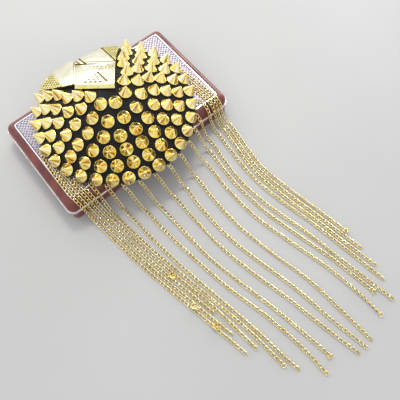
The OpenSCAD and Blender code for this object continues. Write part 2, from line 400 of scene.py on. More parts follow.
# The printed field has dots where two waves meet and thin rings round them, on a ground that is
# paler towards the collar side.
field_sheet, shader, place = new_finish(
    "field_sheet", Metallic=0.45, Coat_Weight=0.2, Coat_Roughness=0.15
)
axes = put(place, "SeparateXYZ", Vector=place).outputs
turns = 2 * math.pi / motif
wave_x = maths("COSINE", maths("MULTIPLY", axes["X"], turns))
wave_y = maths("COSINE", maths("MULTIPLY", axes["Y"], turns))
lattice = maths("ABSOLUTE", maths("ADD", wave_x, wave_y))
dots = between(lattice, 0, 1, *dot_levels)
rings = maths("ABSOLUTE", maths("SUBTRACT", lattice, ring_level))
ring_line = between(rings, ring_tone, 0, *ring_levels)
drawn = maths("MAXIMUM", dots, ring_line)
worn = speckle(place, 700, 3)
mottled = maths("MULTIPLY", drawn, between(worn, 0.55, 1.0, 0.38, 0.6))
blush = between(axes["Y"], 0.85, 0.25, panel_low.y, panel_high.y)
ground = tint(blush, (0.0, (0.62, 0.595, 0.65)), (1.0, (0.27, 0.20, 0.285)))
ink = tint(worn, (0.35, (0.012, 0.008, 0.014)), (0.65, (0.06, 0.035, 0.06)))
printed = put(place, "Mix", {"data_type": "RGBA"}, Factor=mottled, A=ground, B=ink)
wire_up(
    shader,
    Base_Color=printed.outputs["Result"],
    Roughness=between(worn, 0.25, 0.45),
    Normal=relief(mottled, 0.00008, relief(worn, 0.00004)),
)
sheets = [border_sheet, field_sheet, seam_painted_shade, line_painted_shade]
hand_over(panel, "block_pattern", "block_panel", *sheets)
# Painted shade goes on the seam faces and on the walls of the pressed line.
for face in panel.data.polygons:
    spots = [panel.data.vertices[n].co for n in face.vertices]
    from_edge = min(min(panel_high.x - abs(spot.x), panel_high.y - abs(spot.y)) for spot in spots)
    flat = face.normal.z > 0.99
    if from_edge < (seam_wide + seam_deep / 4 if flat else seam_wide / 2):
        face.material_index = sheets.index(seam_painted_shade)
    elif len(spots) > 4:
        face.material_index = sheets.index(field_sheet)
    elif not flat and from_edge > seam_wide + seam_deep:
        face.material_index = sheets.index(line_painted_shade)


# Shoulder board
# The board is a stiff domed shell that sits over the shoulder. It is covered in black woven
# cloth, glued down and turned in under the rim, and its collar edge is cut straight.
board_centre = Vector((-0.002, -0.003, 0))
crown = 0.050
flank_slope = 0.31
crown_round = 0.0065
flank_bulge = 2.0
board_wall = 0.0026
rim_radius = 0.0615
rim_nose = 0.0006
rim_lean = 0.0002
foot = 0.0235
collar_angle = math.radians(83)
collar_cut = 0.0574
ring_step = 0.002
turned_steps = 128
cloth_fold = 0.0007
fold_angle = 50
thread = 0.00062


def dome_height(r):
    """Height of the board's outer face, at a distance from its centre."""
    return crown - flank_slope * (math.hypot(r, crown_round) - crown_round) - flank_bulge * r * r


def dome_tilt(r):
    """Slope of the board's outer face there, in radians."""
    return math.atan(flank_slope * r / math.hypot(r, crown_round) + 2 * flank_bulge * r)


def start_mesh(name, corners, edges, faces):
    """A new mesh of corners with edges or faces, open in edit mode and all selected."""
    mesh = bpy.data.meshes.new(name)
    mesh.from_pydata(corners, edges, faces)
    piece = bpy.data.objects.new(name, mesh)
    bpy.context.collection.objects.link(piece)
    work_on(piece)
    bpy.ops.object.mode_set(mode="EDIT")
    bpy.ops.mesh.select_all(action="SELECT")
    return piece


def face_outwards():
    """Turns all the faces of a closed shape outwards."""
    bpy.ops.mesh.select_all(action="SELECT")
    bpy.ops.mesh.normals_make_consistent(inside=False)


blunt = rim_radius - rim_nose
rings_out = [ring_step * n for n in range(int(blunt / ring_step) + 1)]
section = [(r, dome_height(r)) for r in rings_out]
section += [(blunt, dome_height(blunt)), (rim_radius, foot + rim_nose), (rim_radius - rim_lean, foot)]
section += [(r, max(foot, dome_height(r) - board_wall)) for r in [blunt, *reversed(rings_out)]]
section_corners = [(board_centre.x + r, board_centre.y, z) for r, z in section]
section_edges = [(n, n + 1) for n in range(len(section) - 1)]
board = start_mesh("board_shell", section_corners, section_edges, [])
bpy.ops.mesh.spin(steps=turned_steps, angle=2 * math.pi, center=board_centre, axis=(0, 0, 1))
bpy.ops.mesh.select_all(action="SELECT")
bpy.ops.mesh.remove_doubles(threshold=hair)
face_outwards()
collar_way = Vector((math.cos(collar_angle), math.sin(collar_angle), 0))
bpy.ops.mesh.bisect(
    plane_co=board_centre + collar_way * collar_cut, plane_no=collar_way,
    use_fill=True, clear_outer=True,
)
bpy.ops.object.mode_set(mode="OBJECT")
soften(board, cloth_fold, 3, fold_angle)

# Plain weave: threads over and under each other, with lint and a soft sheen.
board_cloth, shader, place = new_finish(
    "board_cloth", Sheen_Weight=0.12, Sheen_Roughness=0.4, Specular_IOR_Level=0.25,
)
axes = put(place, "SeparateXYZ", Vector=place).outputs
over = maths("SINE", maths("MULTIPLY", axes["X"], math.pi / thread))
under = maths("SINE", maths("MULTIPLY", axes["Y"], math.pi / thread))
weave = between(maths("MULTIPLY", over, under), 0, 1, -1, 1)
lint = speckle(place, 700, 4, 0.7)
wire_up(
    shader,
    Base_Color=tint(
        maths("MULTIPLY", weave, lint),
        (0.1, (0.003, 0.0028, 0.003)), (0.45, (0.009, 0.0082, 0.009)), (0.75, (0.03, 0.028, 0.031)),
    ),
    Roughness=between(weave, 0.75, 0.55),
    Normal=relief(weave, 0.00022, relief(lint, 0.00015)),
)
hand_over(board, "board_cloth", "board", board_cloth)


# Embossed plates
# Three flat tiles of pale gold plated brass fill a wedge that opens to the collar, almost edge
# to edge. Each is pressed and stamped on top, and is riveted to the board from inside.
plate_thick = 0.0024
plate_seat = 0.0003
plate_gap = 0.0003
wedge_tip = Vector((0.006, 0.002))
left_edge = math.radians(130)
front_tip = Vector((0.0054, -0.0007))
right_edge = math.radians(57.5)
front_left = Vector((-0.0152, 0.0232))
turned_run = 0.002
turned_drop = 0.0009
turned_wall = 0.0006
tip_size = 0.001
joint = Vector((-0.003, 0.0475))
mid_left = Vector((-0.017, 0.047))
mid_right = Vector((0.017, 0.042))
mid_front = Vector((0.004, 0.023))
plate_edge_round = 0.00018
groove_wide = 0.0015
groove_deep = 0.0010
groove_wall = 0.22
lozenge_rows = 12
lozenge_border = 0.17
lozenge_slope = 0.08
lozenge_deep = 0.0004


def way(angle):
    """The direction of an angle in plan."""
    return Vector((math.cos(angle), math.sin(angle)))


def left_point(t):
    """A point on the wedge's left side, so far from its tip."""
    return wedge_tip + t * way(left_edge)


def right_point(t):
    """A point on the wedge's right side, so far from its tip."""
    return front_tip + t * way(right_edge)


def beside(p, a, b, distance):
    """A point moved at right angles to the line from a to b, to the left of it."""
    along = (b - a).normalized()
    return p + distance * Vector((-along.y, along.x))


left_joint = left_point(0.031)
right_joint = right_point(0.027)
knee = right_point(0.036)
left_outline = [
    left_point(0.066), Vector((-0.028, 0.058)), Vector((-0.019, 0.0612)),
    Vector((-0.0042, 0.0584)), Vector((-0.0004, 0.0544)),
    beside(joint, joint, left_joint, -plate_gap / 2),
    beside(left_joint, joint, left_joint, -plate_gap / 2),
]
right_outline = [
    Vector((0.0013, 0.0524)), Vector((0.0094, 0.0534)), Vector((0.021, 0.0554)),
    Vector((0.0305, 0.053)), Vector((0.0358, 0.0438)), knee,
    beside(right_joint, joint, right_joint, plate_gap / 2),
    beside(joint, joint, right_joint, plate_gap / 2) + Vector((plate_gap, plate_gap)),
]
front_outline = [
    front_tip, beside(right_joint, joint, right_joint, -plate_gap / 2),
    beside(joint, joint, right_joint, -plate_gap / 2) - Vector((0, plate_gap)),
    beside(left_joint, joint, left_joint, plate_gap / 2), front_left,
]


def plate_normal(middle):
    """The way that a plate faces, which is the board's at the plate's middle."""
    tilt = dome_tilt(middle.length)
    out = middle.normalized()
    return Vector((math.sin(tilt) * out.x, math.sin(tilt) * out.y, math.cos(tilt)))


def on_plate(p, middle, lift):
    """The place over a point in plan that stands so far off the board, on a plate's slab."""
    normal = plate_normal(middle)
    rest = Vector((middle.x, middle.y, dome_height(middle.length))) + normal * lift
    sink = (normal.x * (p.x - rest.x) + normal.y * (p.y - rest.y)) / normal.z
    return board_centre + Vector((p.x, p.y, rest.z - sink))


def start_plate(name, outline, middle):
    """A flat tile of the plate's outline, open in edit mode."""
    corners = [on_plate(p, middle, plate_seat) for p in outline]
    plate = start_mesh(name, corners, [], [list(range(len(corners)))])
    pull_up(plate_thick / plate_normal(middle).z)
    face_outwards()
    return plate


def side_of(p, a, b):
    """How far a place is to the left of the line from a to b, in plan."""
    along = (b - a).normalized()
    flat = Vector((p.x - board_centre.x, p.y - board_centre.y)) - a
    return along.x * flat.y - along.y * flat.x


def everywhere(middle):
    """The zone that takes in the whole plate."""
    return True


def left_of(a, b, room=0.0):
    """The zone to the left of the line from a to b in plan, with some room between."""
    return lambda middle: side_of(middle, a, b) > room


def both(zone, other):
    """The zone that two zones share."""
    return lambda middle: zone(middle) and other(middle)


def top_of(plate_middle, zone=everywhere):
    """Picks a plate's top faces whose middles are in a zone."""
    facing = plate_normal(plate_middle)
    return lambda middle, normal: normal.dot(facing) > 0.93 and zone(middle)


def rule_line(plate, middle, a, b, zone=everywhere):
    """Cuts a plate's top face along a line in plan."""
    pick_faces(plate, top_of(middle, zone))
    along = (b - a).normalized()
    bpy.ops.mesh.bisect(
        plane_co=board_centre + Vector((a.x, a.y, 0)), plane_no=(-along.y, along.x, 0)
    )


def groove(plate, middle, a, b, zone=everywhere, wide=groove_wide, deep=groove_deep):
    """Presses a straight groove into a plate's top, or a ridge out of it where deep is below 0."""
    for shift in (-wide / 2, wide / 2):
        rule_line(plate, middle, beside(a, a, b, shift), beside(b, a, b, shift), zone)
    pick_faces(plate, top_of(middle, lambda m: abs(side_of(m, a, b)) < wide / 2 and zone(m)))
    bpy.ops.mesh.inset(thickness=wide * groove_wall, depth=-deep)


def stamp_lozenges(plate, middle, a, b, pitch, zone):
    """Stamps a corner with small sunk lozenges, ruled along and across a line in plan."""
    across = beside(a, a, b, 0.01)
    for n in range(-lozenge_rows, lozenge_rows + 1):
        for end in (b, across):
            along = beside(a, a, end, n * pitch), beside(end, a, end, n * pitch)
            rule_line(plate, middle, *along, zone)
    pick_faces(plate, top_of(middle, zone))
    bpy.ops.mesh.inset(use_individual=True, thickness=pitch * lozenge_border)
    bpy.ops.mesh.inset(use_individual=True, thickness=pitch * lozenge_slope, depth=-lozenge_deep)


def join_up(pieces):
    """Joins pieces into the first of them."""
    work_on(pieces[0])
    for piece in pieces:
        piece.select_set(True)
    bpy.ops.object.join()
    return pieces[0]


def punch_dots(plate, middle, places, radius, deep):
    """Punches round hollows into a plate's top, at places in plan."""
    bpy.ops.object.mode_set(mode="OBJECT")
    normal = plate_normal(middle)
    punches = []
    for p in places:
        bpy.ops.object.select_all(action="DESELECT")
        bpy.ops.mesh.primitive_uv_sphere_add(
            segments=12, ring_count=8, radius=radius,
            location=on_plate(p, middle, plate_seat + plate_thick) + normal * (radius - deep),
        )
        punches.append(bpy.context.object)
    tool = join_up(punches)
    bpy.ops.object.transform_apply(location=True, rotation=True, scale=True)
    work_on(plate)
    cut = plate.modifiers.new("punched dots", "BOOLEAN")
    cut.operation = "DIFFERENCE"
    cut.solver = "EXACT"
    cut.object = tool
    bpy.ops.object.modifier_apply(modifier=cut.name)
    bpy.data.objects.remove(tool)
    bpy.ops.object.mode_set(mode="EDIT")


def set_rings(plate, middle, places, radius, wire):
    """Raises small round rings on a plate's top, at places in plan."""
    bpy.ops.object.mode_set(mode="OBJECT")
    lean = plate_normal(middle).to_track_quat("Z", "Y").to_euler()
    raised = []
    for p in places:
        bpy.ops.object.select_all(action="DESELECT")
        bpy.ops.mesh.primitive_torus_add(
            major_radius=radius, minor_radius=wire, major_segments=14, minor_segments=6,
            location=on_plate(p, middle, plate_seat + plate_thick), rotation=lean,
        )
        raised.append(bpy.context.object)
    join_up([plate, *raised])
    bpy.ops.object.mode_set(mode="EDIT")


# Left plate: a ridge closes off its lozenge corner, and a fine fold line runs beside its joint.
ridge_top = Vector((-0.0195, 0.0584))
ridge_foot = Vector((-0.0215, 0.0325))
left_diagonal = ridge_foot + Vector((-0.012, 0.017))
left_pitch = 0.0026
past_ridge = left_of(ridge_foot, ridge_top, 0.0006)
fold_top = Vector((-0.0011, 0.0528))
fold_foot = Vector((-0.0120, 0.0333))

plate_left = start_plate("plate_left_tile", left_outline, mid_left)
groove(plate_left, mid_left, ridge_foot, ridge_top, wide=0.0012, deep=-0.00055)
stamp_lozenges(plate_left, mid_left, ridge_foot, left_diagonal, left_pitch, past_ridge)
groove(plate_left, mid_left, fold_foot, fold_top, wide=0.0007, deep=0.0003)
bpy.ops.object.mode_set(mode="OBJECT")

# Right plate: a groove closes off its lozenge corner, two slots cross its tip, and a fine groove
# runs along its lower edge.
corner_top = Vector((0.0252, 0.0535))
corner_foot = Vector((0.0222, 0.0290))
right_diagonal = corner_top + Vector((0.006, -0.010))
right_pitch = 0.0023
slot_top = Vector((0.0036, 0.0535))
slot_foot = Vector((0.0035, 0.0400))
tip_slot_top = Vector((0.0, 0.0504))
tip_slot_foot = Vector((0.0003, 0.0417))
groove_room = 0.0008
in_corner = left_of(corner_top, corner_foot, groove_room)
before_corner = left_of(corner_foot, corner_top, groove_room)
before_slot = left_of(slot_foot, slot_top, groove_room)
past_slot = both(before_corner, left_of(slot_top, slot_foot, groove_room))
lower_in = 0.0032
lower_left = beside(joint, joint, right_joint, lower_in)
lower_right = beside(right_joint, joint, right_joint, lower_in)

plate_right = start_plate("plate_right_tile", right_outline, mid_right)
groove(plate_right, mid_right, corner_foot, corner_top)
groove(plate_right, mid_right, slot_foot, slot_top, before_corner, wide=0.0014)
groove(plate_right, mid_right, tip_slot_foot, tip_slot_top, before_slot, wide=0.0012)
stamp_lozenges(plate_right, mid_right, corner_top, right_diagonal, right_pitch, in_corner)
groove(plate_right, mid_right, lower_left, lower_right, past_slot, wide=0.0008, deep=0.00045)
bpy.ops.object.mode_set(mode="OBJECT")

# Front plate: its outer edge is turned down. A row of dots runs along its back edge, with a
# triangle of dots, a slash and a field of small rings in front, and a rivet hole at one end.
plate_front = start_plate("plate_front_tile", front_outline, mid_front)
front_way = (front_left - front_tip).normalized()
front_out = Vector((-front_way.y, front_way.x))
pick_faces(plate_front, lambda middle, normal: normal.to_2d().dot(front_out) > 0.95)

# The edge's face is extruded in place, and its new corners then go out and down.
pull_up(0)
shape = bmesh.from_edit_mesh(plate_front.data)
turned_edge = [corner for corner in shape.verts if corner.select]
half_way = sum(corner.co.dot(plate_normal(mid_front)) for corner in turned_edge) / len(turned_edge)
slant = turned_run / math.sin(front_way.angle(way(right_edge)))
for corner in turned_edge:
    at_tip = (corner.co.to_2d() - board_centre.to_2d() - front_tip).length < tip_size
    upper = corner.co.dot(plate_normal(mid_front)) > half_way
    step = -slant * way(right_edge) if at_tip else turned_run * front_out
    new_place = corner.co.to_2d() - board_centre.to_2d() + step
    lift = turned_wall - turned_drop if upper else -turned_drop
    corner.co = on_plate(new_place, mid_front, plate_seat + lift)
bmesh.update_edit_mesh(plate_front.data)

slash_top = Vector((0.0046, 0.0231))
slash_foot = Vector((0.0036, 0.0066))
behind_slash = slash_top + (joint - right_joint)
before_slash = slash_foot + front_way
rule_line(plate_front, mid_front, slash_top, behind_slash)
rule_line(plate_front, mid_front, slash_foot, before_slash)
beside_slash = both(left_of(slash_top, behind_slash), left_of(before_slash, slash_foot))
groove(plate_front, mid_front, slash_foot, slash_top, beside_slash)

row_start = Vector((0.0018, 0.0375))
row_end = Vector((0.0102, 0.0268))
dot_row = [row_start.lerp(row_end, n / 4) for n in range(5)]
dot_left = Vector((-0.0080, 0.0194))
dot_right = Vector((-0.0001, 0.0107))
dot_step = (dot_right - dot_left) / 3
dot_back = Vector((0.0020, 0.0022))
big_dots, *dot_rows = [
    [dot_left + dot_step * (n + row / 2) + dot_back * row for n in range(4 - row)] for row in range(4)
]
rivet_hole = Vector((0.0152, 0.0249))
punch_dots(plate_front, mid_front, big_dots, radius=0.0013, deep=0.0008)
small_dots = dot_row + sum(dot_rows, []) + [rivet_hole]
punch_dots(plate_front, mid_front, small_dots, radius=0.0009, deep=0.0006)

ring_start = Vector((0.0062, 0.0040))
ring_along = 0.0027 * way(right_edge)
ring_across = 0.0025 * way(right_edge + math.radians(80))
edge_room = 0.0014
slash_room = 0.0018
hole_room = 0.0022
holes = [*dot_row, rivet_hole]


def takes_ring(p):
    """Whether a ring at a place is well inside the front plate, past its slash and off its holes."""
    ends = front_outline[1:] + front_outline[:1]
    spot = board_centre + p.to_3d()
    inside = all(side_of(spot, a, b) > edge_room for a, b in zip(front_outline, ends))
    past_slash = side_of(spot, slash_foot, slash_top) < -slash_room
    return inside and past_slash and all((p - hole).length > hole_room for hole in holes)


ring_grid = [
    ring_start + ring_along * n + ring_across * row for row in range(-2, 9) for n in range(-2, 9)
]
ring_places = [p for p in ring_grid if takes_ring(p)]
set_rings(plate_front, mid_front, ring_places, radius=0.0009, wire=0.00024)
bpy.ops.object.mode_set(mode="OBJECT")


def gilt(name, stops, roughness, ripple, ripples, follows=None):
    """Gold plating: a colour that drifts, a faint ripple and fine handling marks.

    The colour may follow an attribute of the mesh, with a weight, and drift from low to high."""
    finish, shader, place = new_finish(name, Metallic=1.0)
    share = speckle(place, 130, 4)
    if follows:
        attribute, weight, low, high = follows
        own = put(place, "Attribute", {"attribute_name": attribute}).outputs["Fac"]
        share = maths("ADD", maths("MULTIPLY", own, weight), between(share, low, high))
    marks = speckle(place, 2200, 3, 0.6)
    rippled = relief(speckle(place, ripples, 2), ripple)
    wire_up(
        shader,
        Base_Color=tint(share, *stops),
        Roughness=between(marks, *roughness),
        Normal=relief(marks, 0.00001, rippled),
    )
    return finish


# The plates' pale gold, with two painted-shade golds: a dark dull one for what is sunk and a deeper
# one for edges and strips.
pale_stops = (0.3, (0.86, 0.80, 0.57)), (0.5, (0.91, 0.87, 0.66)), (0.7, (0.95, 0.92, 0.77))
dark_shade_stops = (0.3, (0.17, 0.13, 0.035)), (0.5, (0.27, 0.22, 0.07)), (0.7, (0.40, 0.33, 0.12))
deep_shade_stops = (0.3, (0.82, 0.70, 0.24)), (0.5, (0.91, 0.81, 0.34)), (0.7, (0.96, 0.88, 0.46))
plate_gold = gilt("plate_gold", pale_stops, (0.13, 0.24), 0.00006, 260)
plate_dark_painted_shade = gilt("plate_dark_painted_shade", dark_shade_stops, (0.4, 0.6), 0.00008, 260)
plate_deep_painted_shade = gilt("plate_deep_painted_shade", deep_shade_stops, (0.16, 0.3), 0.00008, 260)
plate_finishes = [plate_gold, plate_dark_painted_shade, plate_deep_painted_shade]
flush = 0.00004
deepest = 0.0011
fold_reach = 0.0002
strip_area = 1.7e-6
groove_lean, ring_lean, edge_lean = 0.2, 0.75, 0.9


def paint_plate_shade(plate, middle):
    """Paints shade onto a plate: sunk faces and ring flanks take a dark dull gold, and edges, ring
    tops, the turned-down edge and strips between lozenges a deeper gold.
    """
    facing = plate_normal(middle)
    top = on_plate(middle, middle, plate_seat + plate_thick).dot(facing)
    for face in plate.data.polygons:
        over = face.center.dot(facing) - top
        faces_up = face.normal.dot(facing)
        turned_down = side_of(face.center, front_left, front_tip) < fold_reach
        sunk = -deepest < over < -flush and faces_up > groove_lean and not turned_down
        on_ring = plate is plate_front and over > flush
        if sunk or (on_ring and faces_up < ring_lean):
            face.material_index = plate_finishes.index(plate_dark_painted_shade)
        elif on_ring or faces_up < edge_lean or turned_down or face.area < strip_area:
            face.material_index = plate_finishes.index(plate_deep_painted_shade)


plates = (
    (plate_left, mid_left, "plate_left"), (plate_right, mid_right, "plate_right"),
    (plate_front, mid_front, "plate_front"),
)
for plate, middle, node in plates:
    paint_plate_shade(plate, middle)
    soften(plate, plate_edge_round, 2)
    hand_over(plate, "plate_gold", node, *plate_finishes)


# Cone studs
# Ninety cones of plated metal stand in six arcs round the crown. Each is turned with a narrow
# flange at its foot, and is held by a screw from inside the board.
stud_radius = 0.0047
stud_height = 0.0079
flange = 0.001
flange_bevel = 0.0003
stud_sides = 44
flutes = 11
flute_depth = 0.05
plain_tone = 0.5
stud_seat = 0.00023
stud_lean = 2
lean_turn = 137
first_count = 5
count_step = 4
# For each arc: its centre's shift in x and y, its radius, and its first and last angle in degrees.
arcs = [
    (0.0008, 0.0036, 0.0132, 168, 353),
    (0.0003, 0.0015, 0.0227, 142.5, 380.5),
    (-0.0002, 0.0004, 0.0320, 138.5, 398),
    (-0.0007, 0.0002, 0.0411, 130.5, 402),
    (-0.0010, 0.0002, 0.0501, 129, 402),
    (-0.0007, 0.0, 0.0589, 130, 405),
]

bpy.ops.object.select_all(action="DESELECT")
bpy.ops.mesh.primitive_circle_add(
    vertices=stud_sides, radius=stud_radius - flange_bevel, fill_type="NGON"
)
stud = bpy.context.object
stud.name = "stud"
bpy.ops.object.mode_set(mode="EDIT")
bpy.ops.mesh.select_all(action="SELECT")
reached, wide = 0, stud_radius - flange_bevel
turned_profile = [
    (flange_bevel, stud_radius), (flange, stud_radius),
    (flange + flange_bevel, stud_radius - flange_bevel), (0.0045, 0.00262), (0.0069, 0.00102),
    (0.0075, 0.00064), (0.0078, 0.00034), (stud_height, 0.00008),
]
for height, radius in turned_profile:
    pull_up(height - reached)
    size = radius / wide
    bpy.ops.transform.resize(value=(size, size, 1), center_override=(0, 0, height))
    reached, wide = height, radius
bpy.ops.mesh.merge(type="CENTER")
face_outwards()
shape = bmesh.from_edit_mesh(stud.data)
for corner in shape.verts:
    if corner.co.z > flange + flange_bevel / 2:
        turn = math.atan2(corner.co.y, corner.co.x)
        pressed = 1 - flute_depth * (1 - math.cos(flutes * turn)) / 2
        corner.co.x *= pressed
        corner.co.y *= pressed
bmesh.update_edit_mesh(stud.data)
bpy.ops.object.mode_set(mode="OBJECT")
shade(stud, 32)

# The turned face has rays of a paler and a deeper gold painted from its point to its flange, as
# painted reflections.
tones = random.Random(11)
rays = [tones.random() for ray in range(stud_sides // 2)]
ray = stud.data.attributes.new("ray", "FLOAT", "FACE")
for face in stud.data.polygons:
    turn = math.atan2(face.center.y, face.center.x) / (2 * math.pi) % 1
    on_cone = face.center.z > flange + flange_bevel
    tone = rays[int(turn * len(rays)) % len(rays)]
    ray.data[face.index].value = tone if on_cone else plain_tone
ray_stops = (
    (0.12, (1.0, 0.95, 0.64)), (0.45, (1.0, 0.87, 0.37)),
    (0.75, (0.96, 0.69, 0.17)), (1.0, (0.46, 0.24, 0.04)),
)
stud_gold = gilt("stud_gold", ray_stops, (0.17, 0.28), 0.00006, 420, ("ray", 1.0, -0.12, 0.12))


def stud_angle(arc, n):
    """Angle in degrees of stud n in an arc, counted from 0."""
    first, last = arcs[arc][3:]
    return first + (last - first) * n / (first_count + count_step * arc - 1)


for arc in range(len(arcs)):
    shift_x, shift_y, radius = arcs[arc][:3]
    cones = []
    for n in range(first_count + count_step * arc):
        p = Vector((shift_x, shift_y)) + radius * way(math.radians(stud_angle(arc, n)))
        lean = math.radians(lean_turn * (n + arc + 1))
        cone = stud.copy()
        cone.data = stud.data.copy()
        cone.data.transform(
            Matrix.Translation(board_centre + Vector((p.x, p.y, dome_height(p.length))))
            @ Matrix.Rotation(math.atan2(p.y, p.x), 4, "Z")
            @ Matrix.Rotation(dome_tilt(p.length), 4, "Y")
            @ Matrix.Translation((0, 0, stud_seat))
            @ Matrix.Rotation(math.radians(stud_lean * math.cos(lean)), 4, "Y")
            @ Matrix.Rotation(math.radians(stud_lean * math.sin(lean)), 4, "X")
            @ Matrix.Rotation(lean * 3, 4, "Z")
        )
        bpy.context.collection.objects.link(cone)
        cones.append(cone)
    row = join_up(cones)
    row.name = row.data.name = f"studs_{arc + 1}"
    hand_over(row, "stud_gold", f"stud_arc_{arc + 1}", stud_gold)
bpy.data.objects.remove(stud)


# Chain fringe
# Eighteen curb chains hang from the rim, between the outer studs. Each is bent from one wire,
# oval links twisted to lie flat, every link closed through the one before it.
chain_thick = 0.0013
chain_clear = 0.0001
on_block = panel_high.z + chain_thick / 2 + chain_clear
on_floor = chain_thick / 2
panel_edge = panel_low.y
face_gap = 0.0018
rim_drop = 0.0005
start_radius = 0.0585
leave_radius = 0.062
first_gap = 3
over_edge = [(0.0003, 1), (0.0042, 0.93), (0.007, 0.73), (0.0084, 0.48), (0.0115, 0.22)]
free_fall = [(0.22, 0.78), (0.45, 0.42), (0.7, 0.13)]
# For each chain from left to right, the places that it runs through on the block's top.
on_top = [
    [(-0.0666, 0.003), (-0.0678, -0.006), (-0.0685, -0.020), (-0.0683, -0.038)],
    [(-0.0651, -0.014), (-0.0655, -0.026), (-0.0649, -0.038)],
    [(-0.0619, -0.026), (-0.0613, -0.038)],
    [(-0.0578, -0.038)],
    [], [], [], [], [], [], [], [], [], [],
    [(0.0554, -0.038)],
    [(0.0586, -0.029), (0.0596, -0.038)],
    [(0.061, -0.022), (0.062, -0.031), (0.0629, -0.040)],
    [(0.062, -0.002), (0.0636, -0.012), (0.0651, -0.025), (0.0662, -0.040)],
]
floor_rows = (-0.102, -0.132, -0.162, -0.192, -0.222)
# For each chain: where it lands, its x at those rows as far as it gets, and its last places.
on_ground = [
    ((-0.0649, -0.064), [-0.060, -0.0545, -0.0485, -0.0425], (-0.0405, -0.203)),
    ((-0.0614, -0.064), [-0.0565, -0.051, -0.045], (-0.039, -0.188)),
    ((-0.0579, -0.064), [-0.053, -0.0474], (-0.0415, -0.160), (-0.0403, -0.168)),
    ((-0.0544, -0.064), [-0.0495, -0.0439, -0.038, -0.0345], (-0.033, -0.207)),
    ((-0.051, -0.064), [-0.046, -0.0404, -0.0344, -0.0293], (-0.0262, -0.226)),
    ((-0.043, -0.066), [-0.040, -0.036, -0.0308, -0.0257, -0.022], (-0.0195, -0.233)),
    ((-0.031, -0.076), [-0.0292, -0.0255, -0.0205, -0.0133, -0.009], (-0.008, -0.246)),
    ((-0.0203, -0.080), [-0.0192, -0.0175, -0.012, -0.0055, -0.0005], (0.002, -0.239)),
    ((-0.007, -0.082), [-0.0068, -0.0055, -0.0005, 0.0065, 0.012], (0.0185, -0.252)),
    ((0.0045, -0.082), [0.003, 0.004, 0.0095, 0.0158, 0.0197], (0.025, -0.252)),
    ((0.0165, -0.080), [0.015, 0.0157, 0.0205, 0.027, 0.0293], (0.031, -0.252)),
    ((0.0305, -0.076), [0.0288, 0.0302, 0.0365, 0.0435, 0.0477], (0.0485, -0.245)),
    ((0.0395, -0.070), [0.0367, 0.0385, 0.0445, 0.0513, 0.0559], (0.0573, -0.229)),
    ((0.046, -0.062), [0.0413, 0.044, 0.0505, 0.0552, 0.060], (0.063, -0.241)),
    ((0.055, -0.062), [0.051, 0.0535, 0.0595, 0.064], (0.069, -0.230)),
    ((0.061, -0.062), [0.0555, 0.0582, 0.0634, 0.0678], (0.0725, -0.218)),
    ((0.0648, -0.062), [0.0591, 0.062, 0.0671, 0.072], (0.0745, -0.204)),
    ((0.0686, -0.062), [0.0627, 0.0658, 0.0708], (0.075, -0.186)),
]


def level(share):
    """Height of a chain's middle, as a share of the drop from the block to the floor."""
    return on_floor + (on_block - on_floor) * share


def fringe_route(chain):
    """The places that a chain runs through, from under the rim to its loose end."""
    outer = len(arcs) - 1
    angle = (stud_angle(outer, first_gap + chain) + stud_angle(outer, first_gap + chain + 1)) / 2
    start = board_centre.xy + start_radius * way(math.radians(angle))
    leave = board_centre.xy + leave_radius * way(math.radians(angle))
    rests = leave.y > panel_edge
    route = [start.to_3d() + Vector((0, 0, on_block))]
    route.append(leave.to_3d() + Vector((0, 0, on_block if rests else on_block - rim_drop)))
    route += [Vector((x, y, on_block)) for x, y in on_top[chain]]
    first, row_places, *ends = on_ground[chain]
    places = [first, *zip(row_places, floor_rows), *ends]
    ground = [Vector((x, y, on_floor)) for x, y in places]
    last, landing = route[-1], ground[0]
    if rests:
        for out, share in over_edge:
            y = panel_edge - out
            x = last.x + (landing.x - last.x) * (last.y - y) / (last.y - landing.y)
            route.append(Vector((x, y, level(share))))
    else:
        for out, share in free_fall:
            spot = last.lerp(landing, out)
            route.append(Vector((spot.x, min(spot.y, trim_low.y - face_gap), level(share))))
    return route + ground


def smooth_line(route, steps=16):
    """Points close together on the smooth curve through a route, no lower than the floor."""
    line = []
    for n in range(len(route) - 1):
        a, b, c, d = (route[max(n - 1, 0)], route[n], route[n + 1], route[min(n + 2, len(route) - 1)])
        for s in range(steps):
            t = s / steps
            spot = (
                2 * b + t * (c - a) + t * t * (2 * a - 5 * b + 4 * c - d)
                + t * t * t * (3 * b - a - 3 * c + d)
            ) / 2
            line.append(Vector((spot.x, spot.y, max(spot.z, on_floor))))
    return line + [route[-1]]


link_pitch = 0.0032
wire = 0.00032
link_half_width = 0.00106
link_half_length = 0.00196
end_round = 0.00125
flat_part = 0.00065
link_twist = math.radians(43)
link_sides = 16
wire_sides = 6
hole_shade = 0.9
under_shade = 0.5


def wire_ring(name, radius):
    """A round ring bent from the chains' wire."""
    bpy.ops.object.select_all(action="DESELECT")
    bpy.ops.mesh.primitive_torus_add(
        major_radius=radius, minor_radius=wire, major_segments=link_sides, minor_segments=wire_sides
    )
    bpy.ops.object.shade_smooth()
    bpy.context.object.name = name
    return bpy.context.object


link = wire_ring("link", link_half_width)
